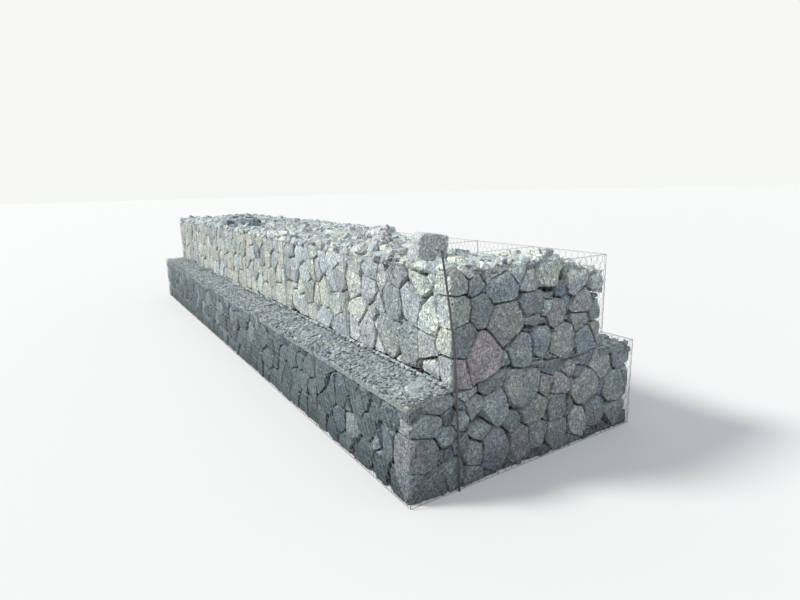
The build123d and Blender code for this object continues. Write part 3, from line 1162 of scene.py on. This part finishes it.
class GabionStageSettings(bpy.types.PropertyGroup):
    floor: color_setting("Floor", "Floor as the camera sees it", (0.56, 0.555, 0.545))
    under: color_setting("Under", "Floor as the wall sees it", (0.22, 0.21, 0.20))
    sky: color_setting("Sky", "Soft light from all round", (0.84, 0.92, 1.0))
    sky_strength: number_setting("Sky strength", "Strength of the soft light", 0.56)
    sun_strength: number_setting("Sun strength", "Strength of the key light", 3.9)
    sun_angle: number_setting("Sun size", "How soft its shadows are", math.radians(14), subtype="ANGLE")
    fill_strength: number_setting("Fill strength", "Strength of the fill light", 1.65)
    fill_angle: number_setting(
        "Fill size", "How soft the fill's shadows are", math.radians(50), subtype="ANGLE"
    )


def settings():
    scene = bpy.context.scene
    return scene.gabion_stone, scene.gabion_wire, scene.gabion_stage


def stone_material(name="packed_granite", finer=1.0):
    stone = settings()[0]
    made = bpy.data.materials.get(name)
    return made or granite_material(name, tuple(stone.dust_color), stone.dust, stone.speckle * finer)


def rubble_material():
    return stone_material("granite_rubble", 1.2)


def mesh_material():
    wire = settings()[1]
    made = bpy.data.materials.get("dull_zinc")
    return made or wire_material("dull_zinc", tuple(wire.bright), tuple(wire.dull))


class GABION_OT_stage(bpy.types.Operator):
    """Camera, key light, sky and floor"""

    bl_idname = "gabion.stage"
    bl_label = "Stage"

    def execute(self, context):
        stage = settings()[2]
        bpy.ops.object.select_all(action="DESELECT")
        bpy.ops.mesh.primitive_plane_add(size=600)
        floor = context.object
        floor.name = "pale_floor"
        floor.data.materials.append(floor_material(tuple(stage.floor), tuple(stage.under)))
        self.add_sun("key_light", (-6, -12, 14), (0.46, 0.78, -0.74), (1.0, 0.985, 0.955))
        context.object.data.energy = stage.sun_strength
        context.object.data.angle = stage.sun_angle
        self.add_sun("fill_light", (14, -4, 10), (-0.56, 0.38, -0.74), (0.92, 0.97, 1.0))
        context.object.data.energy = stage.fill_strength
        context.object.data.angle = stage.fill_angle
        self.make_sky(context, stage)
        self.make_camera(context)
        context.scene.view_settings.view_transform = "Standard"
        return {"FINISHED"}

    def add_sun(self, name, place, toward, color):
        bpy.ops.object.light_add(type="SUN", location=place)
        sun = bpy.context.object
        sun.name = name
        sun.data.color = color
        sun.rotation_euler = Vector(toward).to_track_quat("-Z", "Y").to_euler()

    def make_sky(self, context, stage):
        world = bpy.data.worlds.new("soft_sky")
        shading = Shading(world)
        light = shading.add("Background", Color=(*stage.sky, 1.0), Strength=stage.sky_strength)
        backdrop = shading.add("Background", Color=BACKDROP, Strength=1.0)
        shades = [(1, light.outputs["Background"]), (2, backdrop.outputs["Background"])]
        mix = shading.add("MixShader", [("Fac", shading.seen_ray()), *shades])
        shading.add("OutputWorld", [("Surface", mix.outputs["Shader"])])
        context.scene.world = world

    def make_camera(self, context):
        right, up, ahead = camera_axes()
        bpy.ops.object.camera_add()
        camera = context.object
        camera.name = "photo_camera"
        turn = Matrix((right, up, -ahead)).transposed().to_4x4()
        camera.matrix_world = Matrix.Translation(camera_place()) @ turn
        camera.data.sensor_width = SENSOR_WIDTH
        camera.data.lens = CAMERA_LENS
        camera.data.clip_end = 2000
        context.scene.camera = camera


class GABION_OT_packed_stones(bpy.types.Operator):
    """The big stones of both courses, bay by bay"""

    bl_idname = "gabion.packed_stones"
    bl_label = "Packed stones"

    def execute(self, context):
        material = stone_material()
        for course in ("base", "upper"):
            for bay in range(1, BAYS + 1):
                rng = random.Random(f"{course} {bay} {settings()[0].seed}")
                seeds = bay_seeds(course, bay, rng)
                piece = pack_stones(f"{course}_stones_{bay}", seeds, course, bay, material, rng)
                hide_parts(f"{course}_fill_{bay}")
        return {"FINISHED"}


class GABION_OT_rubble(bpy.types.Operator):
    """The small stones on the benches and on the top"""

    bl_idname = "gabion.rubble"
    bl_label = "Rubble"

    def execute(self, context):
        stone = settings()[0]
        rng = random.Random(f"rubble {stone.seed}")
        pieces = [broken_piece(cuts, rng) for cuts in (4, 4, 5, 5, 6, 7)]
        worn = [broken_piece(cuts, rng, 0.06) for cuts in (5, 6, 7, 8)]
        self.bench("front_bench_rubble", BASE_FRONT, UPPER_FRONT, stone.bench_size, pieces, rng)
        self.bench("back_bench_rubble", UPPER_BACK, BASE_BACK, stone.bench_size * 2.2, pieces, rng)
        self.top(stone.top_size, pieces, worn, rng)
        self.rim(stone.top_size, worn, rng)
        self.foot(pieces, rng)
        return {"FINISHED"}

    def finish_piece(self, store, name, low_y=None, high_y=None):
        """Builds the piece, held inside the near and far ends and between two places across."""
        if high_y is not None:
            points = np.array(store.points)
            points[:, 0] = np.clip(points[:, 0], FAR_X + FACE_INSET, END_X - FACE_INSET)
            points[:, 1] = np.clip(points[:, 1], low_y, high_y)
            store.points = points.tolist()
        piece = store.build(name, rubble_material(), smooth_angle=RUBBLE_SMOOTH)

    def bench(self, name, low_y, high_y, size, pieces, rng):
        store = MeshStore()
        outer = BASE_FRONT if low_y == BASE_FRONT else BASE_BACK

        def height(x, y):
            inward = abs(y - outer)
            return BASE_TOP - BENCH_BED - 0.06 * max(0.0, 1 - inward / 0.13) ** 2

        low, high = (FAR_X + 0.02, low_y + 0.02), (END_X - 0.02, high_y - 0.01)
        ground_bed(store, low, high, height, 0.08, TONES["moss"])
        near = END_X - 0.75 * BAY_LENGTH
        for start, end, grain in ((low[0], near, size * 1.3), (near, high[0], size)):
            for x, y in scattered((start, low[1]), (end, high[1]), grain * 0.76, rng):
                span = grain * rng.choice(BENCH_SPANS)
                z = min(height(x, y) + rng.uniform(0.004, 0.020), BASE_TOP - WIRE - span * 0.36)
                tone = varied(rng.choice(RUBBLE_MIX), rng, 0.15)
                place_rubble(store, pieces, (x, y, z), span, tone, rng)
        if outer == BASE_FRONT:
            self.crumbs(store, pieces, random.Random("crumbs"))
            low_y += FACE_INSET
        self.finish_piece(store, name, low_y, high_y)

    def crumbs(self, store, pieces, rng):
        """Chips and dust that lie along the foot of the upper course, on the lids."""
        count = round((END_X - FAR_X) / CRUMB_STEP)
        for index in range(count):
            x = END_X - 0.03 - (END_X - FAR_X - 0.06) * (index + rng.random()) / count
            span = rng.choice(CRUMB_SPANS)
            y = UPPER_FRONT - span * rng.uniform(0.15, 0.5)
            tone = varied(rng.choice(CRUMB_MIX), rng)
            place_rubble(store, pieces, (x, y, BASE_TOP + span * 0.10), span, tone, rng)

    def top(self, size, pieces, worn, rng):
        store = MeshStore()

        def height(x, y):
            return heap_top.at(x, y) - TOP_BED

        low, high = (FAR_X + 0.05, UPPER_FRONT + 0.05), (END_X - 0.05, UPPER_BACK - 0.05)
        ground_bed(store, low, high, height, 0.12, TONES["pale"])
        heaps = [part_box(node) for node in ("pale_heap", "dark_heap")]
        for x, y in scattered(low, high, size * 0.9, rng):
            if any(self.covered(x, y, *box) for box in heaps):
                continue
            span = size * rng.choice(TOP_SPANS)
            z = height(x, y) + rng.uniform(0.0, 0.02)
            edge = min(y - UPPER_FRONT, UPPER_BACK - y, END_X - x, x - FAR_X)
            z -= 0.06 * max(0.0, 1 - edge / 0.12)
            z = min(z, height(x, y) + 0.09 - span * 0.4)
            shapes = worn if x > END_X - 0.8 * BAY_LENGTH else pieces
            place_rubble(store, shapes, (x, y, z), span, varied(rng.choice(TOP_MIX), rng), rng, 0.9)
        self.finish_piece(store, "top_rubble", *TOP_SPAN)

    def covered(self, x, y, low, high):
        middle, half = (low + high) / 2, (high - low) / 2
        return ((x - middle.x) / half.x) ** 2 + ((y - middle.y) / half.y) ** 2 < 0.6

    def rim(self, size, pieces, rng):
        """Pale stones laid along the edges of the top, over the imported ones."""
        store = MeshStore()
        steps = [(side, size * share) for side, share in RIM_STEPS]
        for spot, step in around("upper", RIM_INSET, steps, rng, 0.1):
            span = step * rng.choice(RIM_SPANS)
            z = heap_top.at(spot.x, spot.y) - span * rng.uniform(0.18, 0.34)
            spot += Vector((rng.uniform(-0.03, 0.03), rng.uniform(-0.03, 0.03)))
            mix = EDGE_MIX if spot.y < UPPER_FRONT + 0.40 else RIM_MIX
            place_rubble(store, pieces, (spot.x, spot.y, z), span, varied(rng.choice(mix), rng), rng)
        self.finish_piece(store, "rim_stones", *TOP_SPAN)

    def foot(self, pieces, rng):
        """Small stones wedged under the big ones, all round the foot."""
        store = MeshStore()
        for spot, _ in around("base", FOOT_INSET, FOOT_STEPS, rng):
            span = rng.uniform(0.09, 0.13)
            place_rubble(store, pieces, (spot.x, spot.y, 0.04), span, varied("dark", rng, 0.3), rng)
        self.finish_piece(store, "foot_stones")


class GABION_OT_core(bpy.types.Operator):
    """The inner fill behind the faces, near black with painted shade inside the gaps"""

    bl_idname = "gabion.core"
    bl_label = "Inner fill"

    def execute(self, context):
        store = MeshStore()
        length = END_X - FAR_X - 2 * CORE_DEPTH
        layers = (("base", 0.02, BASE_TOP - 0.09), ("upper", BASE_TOP - 0.05, RIM - 0.34))
        for course, bottom, top in layers:
            front, back = SPANS[course]
            middle = ((END_X + FAR_X) / 2, (front + back) / 2, (bottom + top) / 2)
            block = placed_cube(middle, (length, back - front - 2 * CORE_DEPTH, top - bottom))
            bpy.ops.mesh.subdivide(number_cuts=9)
            bpy.ops.object.mode_set(mode="OBJECT")
            places = [vertex.co for vertex in block.data.vertices]
            points = [place + noise.noise_vector(place * 4) * 0.03 for place in places]
            faces = [tuple(polygon.vertices) for polygon in block.data.polygons]
            store.add(points, faces, TONES["inner_shade"])
            bpy.data.objects.remove(block)
        piece = store.build("inner_fill", stone_material())
        return {"FINISHED"}


# Cuts that shape the corner block: a place in shares of its size from its middle, and a direction.
BLOCK_CUTS = (
    ((0.0, -0.40, 0.42), (0.05, -0.50, 0.70)),
    ((-0.34, -0.40, 0.10), (-0.75, -0.40, 0.32)),
    ((0.30, 0.46, 0.44), (0.25, 0.55, 0.75)),
    ((-0.20, -0.35, 0.49), (0.05, 0.15, 1.0)),
    ((0.47, 0.0, 0.0), (1.0, 0.05, -0.04)),
    ((-0.10, -0.45, 0.0), (-0.12, -1.0, 0.12)),
    ((0.0, 0.47, 0.0), (0.1, 1.0, -0.12)),
)


class GABION_OT_loose_stones(bpy.types.Operator):
    """The big block on the corner and the two heaps on the top"""

    bl_idname = "gabion.loose_stones"
    bl_label = "Loose stones"

    def execute(self, context):
        rng = random.Random(f"loose {settings()[0].seed}")
        self.corner_block()
        pieces = [broken_piece(cuts, rng, 0.04) for cuts in (5, 6, 7, 8)]
        self.heap("pale_heap", pieces, 40, 0.14, "rose white rose pink".split(), rng)
        self.heap("dark_heap", pieces, 60, 0.24, "dark slate plum shade".split(), rng)
        return {"FINISHED"}

    def corner_block(self):
        low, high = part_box("corner_block")
        middle, size = (low + high) / 2, high - low
        block = placed_cube(middle, size * 0.985)
        block.name = "corner_stone"
        for place, normal in BLOCK_CUTS:
            bpy.ops.mesh.select_all(action="SELECT")
            spot = middle + Vector([share * length for share, length in zip(place, size)])
            bpy.ops.mesh.bisect(plane_co=spot, plane_no=normal, use_fill=True, clear_outer=True)
        bpy.ops.mesh.select_all(action="SELECT")
        bpy.ops.mesh.remove_doubles(threshold=0.012)
        bevel_all(0.009, None)
        bpy.ops.mesh.quads_convert_to_tris()
        bpy.ops.mesh.subdivide(number_cuts=4)
        bpy.ops.mesh.normals_make_consistent(inside=False)
        bpy.ops.object.mode_set(mode="OBJECT")
        for vertex in block.data.vertices:
            vertex.co += noise.noise_vector(vertex.co * 9) * 0.008
            vertex.co.z = min(vertex.co.z, cad_high.z)
        layer = block.data.attributes.new("stone_tone", "FLOAT_COLOR", "POINT")
        layer.data.foreach_set("color", np.tile((*TONES["pale"], 1.0), len(block.data.vertices)))
        block.data.materials.append(stone_material())
        select_only(block)
        bpy.ops.object.shade_smooth_by_angle(angle=math.radians(18))
        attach(block, "root")
        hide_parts("corner_block")

    def heap(self, node, pieces, count, size, tones, rng):
        low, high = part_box(node)
        middle, half = (low + high) / 2, (high - low) / 2
        store = MeshStore()
        for index in range(count):
            reach = math.sqrt((index + 0.5) / count)
            spin = index * 2.4
            x = middle.x + math.cos(spin) * half.x * reach * 0.90
            y = middle.y + math.sin(spin) * half.y * reach * 0.85
            span = size * rng.uniform(0.6, 1.15)
            z = heap_top.at(x, y) + (high.z - heap_top.at(x, y)) * (1 - reach**1.5) * 0.9
            z = min(z, high.z - span * 0.42)
            place_rubble(store, pieces, (x, y, z), span, varied(rng.choice(tones), rng), rng, 0.85)
        piece = store.build(f"{node}_stones", rubble_material(), smooth_angle=RUBBLE_SMOOTH)
        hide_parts(node)


class GABION_OT_woven_wire(bpy.types.Operator):
    """The hexagonal mesh over the faces and the bench lids"""

    bl_idname = "gabion.woven_wire"
    bl_label = "Woven wire"

    def execute(self, context):
        self.ends()
        self.sides()
        return {"FINISHED"}

    def weave(self, name, panels, fine=False):
        """One piece from panels given by corner, directions across and along, width and height."""
        store = MeshStore()
        for panel in panels:
            weave_panel(store, *panel, fine)
        piece = store.build(name, mesh_material())
        return piece

    def ends(self):
        for name, x, turn in (("near", END_X, 1.0), ("far", FAR_X, -1.0)):
            panels = []
            for course, bottom in (("base", 0.0), ("upper", BASE_TOP)):
                front, back = SPANS[course]
                boxes = round(back - front)
                for box in range(boxes):
                    start = front + box * (back - front) / boxes
                    if turn < 0:
                        start += (back - front) / boxes
                    corner = (x - turn * MESH_INSET, start, bottom + WIRE / 2)
                    width = (back - front) / boxes
                    panels.append((corner, (0.0, turn, 0.0), UP, width, BASE_TOP - WIRE))
            self.weave(f"woven_end_{name}", panels, fine=name == "near")

    def sides(self):
        starts = [END_X - bay * BAY_LENGTH for bay in range(1, BAYS + 1)]
        faces = (
            ("base_front", BASE_FRONT, -1.0, 0.0),
            ("base_back", BASE_BACK, 1.0, 0.0),
            ("upper_front", UPPER_FRONT, -1.0, BASE_TOP),
            ("upper_back", UPPER_BACK, 1.0, BASE_TOP),
        )
        for name, y, turn, bottom in faces:
            panels = []
            for low_x in starts:
                start = low_x if turn < 0 else low_x + BAY_LENGTH
                corner = (start, y - turn * MESH_INSET, bottom + WIRE / 2)
                panels.append((corner, (-turn, 0.0, 0.0), UP, BAY_LENGTH, BASE_TOP - WIRE))
            piece = self.weave(f"woven_{name}", panels)
            if name == "upper_back":
                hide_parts(*[f"back_mesh_{bay}" for bay in range(1, OPEN_BAYS + 1)])
        for name, low_y, high_y in (("front", BASE_FRONT, UPPER_FRONT), ("back", UPPER_BACK, BASE_BACK)):
            panels = []
            for low_x in starts:
                corner = (low_x, low_y + WIRE / 2, BASE_TOP - MESH_INSET)
                width = high_y - low_y - WIRE
                panels.append((corner, (1.0, 0.0, 0.0), (0.0, 1.0, 0.0), BAY_LENGTH, width))
            self.weave(f"woven_lid_{name}", panels)


class GABION_OT_edge_wires(bpy.types.Operator):
    """Selvedge wires along the edges of the boxes, laced at the near end"""

    bl_idname = "gabion.edge_wires"
    bl_label = "Edge wires"

    def execute(self, context):
        for bay in range(1, BAYS + 1):
            for course in ("base", "upper"):
                store = MeshStore()
                for start, end in self.edges(course, bay):
                    free = end[2] > start[2] or start[2] > RIM - 2 * WIRE
                    self.edge(store, Vector(start), Vector(end), laced=bay == 1 and free)
                name = f"{course}_selvedge_{bay}"
                piece = store.build(name, mesh_material(), smooth_angle=math.radians(60))
                lid = [f"base_lid_{bay}"] if course == "base" else []
                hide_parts(f"{course}_cage_{bay}", *lid)
        return {"FINISHED"}

    def edges(self, course, bay):
        """Both ends of each edge that shows in one course of one bay."""
        inset = WIRE / 2
        high_x = END_X - (bay - 1) * BAY_LENGTH - inset
        low_x = END_X - bay * BAY_LENGTH + inset
        front, back = SPANS[course]
        bottom = inset if course == "base" else BASE_TOP + inset
        top = bottom + (BASE_TOP if course == "base" else RIM - BASE_TOP) - WIRE
        boxes = round(back - front)
        front, back = front + inset, back - inset
        posts = (low_x, (low_x + high_x) / 2, high_x)
        for y in (front, back):
            for z in (bottom, top):
                yield (low_x, y, z), (high_x, y, z)
            for x in posts:
                yield (x, y, bottom), (x, y, top)
        for x in posts:
            yield (x, front, top), (x, back, top)
        for outer, x in ((bay == 1, high_x), (bay == BAYS, low_x)):
            if outer:
                yield (x, front, bottom), (x, back, bottom)
                for box in range(1, boxes):
                    y = front + (back - front) * box / boxes
                    yield (x, y, bottom), (x, y, top)

    def edge(self, store, start, end, laced):
        """One edge: a wire that isn't quite straight, with a lacing wire wound round it."""
        run = end - start
        upright = abs(run.z) > run.length / 2
        out = Vector((1.0, 0.0, 0.0) if upright else UP)
        side = run.cross(out).normalized()
        steps = max(2, round(run.length / 0.12))
        line = []
        for step in range(steps + 1):
            spot = start + run * step / steps
            line.append(spot + noise.noise_vector(spot * 4.3) * 0.0012)
        store.add(*wire_tube(line, SELVEDGE_RADIUS, 5, out), TONES["grey"])
        if not laced:
            return
        steps = round(run.length / LACING_PITCH * 8)
        coil = []
        for step in range(steps + 1):
            angle = 2 * math.pi * step / 8
            wound = (side * math.cos(angle) + out * math.sin(angle)) * LACING_REACH
            coil.append(start + run * step / steps + wound)
        store.add(*wire_tube(coil, LACING_RADIUS, 3, out), TONES["grey"])


class GABION_OT_guide_bar(bpy.types.Operator):
    """The bar that stands against the near end, a little bowed"""

    bl_idname = "gabion.guide_bar"
    bl_label = "Bar"

    def execute(self, context):
        low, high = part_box("guide_bar")
        radius = (high.x - low.x) / 2
        line = []
        for px, py in BAR_LINE:
            spot = point_on_face(PhotoStone(px, py, 0.0, "dark"), 0, low.x + radius)
            spot.y = clamp(spot.y, low.y + radius, high.y - radius)
            line.append(spot)
        line[0].z, line[-1].z = low.z, high.z
        bpy.ops.object.select_all(action="DESELECT")
        bpy.ops.curve.primitive_nurbs_path_add()
        path = context.object
        path.name = "bowed_bar"
        path.data.splines.clear()
        spline = path.data.splines.new("NURBS")
        spline.points.add(len(line) - 1)
        for point, spot in zip(spline.points, line):
            point.co = (*spot, 1.0)
        spline.order_u = 3
        spline.use_endpoint_u = True
        spline.resolution_u = 6
        path.data.bevel_depth = radius * 0.98
        path.data.bevel_resolution = 3
        path.data.use_fill_caps = True
        bpy.ops.object.convert(target="MESH")
        bar = context.object
        bar.data.materials.clear()
        bar.data.materials.append(wire_material("dark_bar", tuple(settings()[1].bar), BAR_RUST))
        bpy.ops.object.shade_smooth_by_angle(angle=math.radians(40))
        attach(bar, "root")
        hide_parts("guide_bar")
        return {"FINISHED"}


STEPS = (
    GABION_OT_stage,
    GABION_OT_core,
    GABION_OT_packed_stones,
    GABION_OT_rubble,
    GABION_OT_loose_stones,
    GABION_OT_woven_wire,
    GABION_OT_edge_wires,
    GABION_OT_guide_bar,
)


class GABION_PT_panel(bpy.types.Panel):
    """Settings and steps of the gabion wall"""

    bl_label = "Gabion wall"
    bl_idname = "GABION_PT_panel"
    bl_space_type = "VIEW_3D"
    bl_region_type = "UI"
    bl_category = "Gabion"

    def draw(self, context):
        for group in settings():
            box = self.layout.box()
            for name in group.__annotations__:
                box.prop(group, name)
        for step in STEPS:
            self.layout.operator(step.bl_idname)


CLASSES = (GabionStoneSettings, GabionWireSettings, GabionStageSettings, *STEPS, GABION_PT_panel)


def register():
    for cls in CLASSES:
        bpy.utils.register_class(cls)
    bpy.types.Scene.gabion_stone = PointerProperty(type=GabionStoneSettings)
    bpy.types.Scene.gabion_wire = PointerProperty(type=GabionWireSettings)
    bpy.types.Scene.gabion_stage = PointerProperty(type=GabionStageSettings)


def unregister():
    for name in ("gabion_stone", "gabion_wire", "gabion_stage"):
        delattr(bpy.types.Scene, name)
    for cls in reversed(CLASSES):
        bpy.utils.unregister_class(cls)


def main():
    register()
    for step in STEPS:
        group, operator = step.bl_idname.split(".")
        getattr(getattr(bpy.ops, group), operator)()


if __name__ == "__main__":
    main()
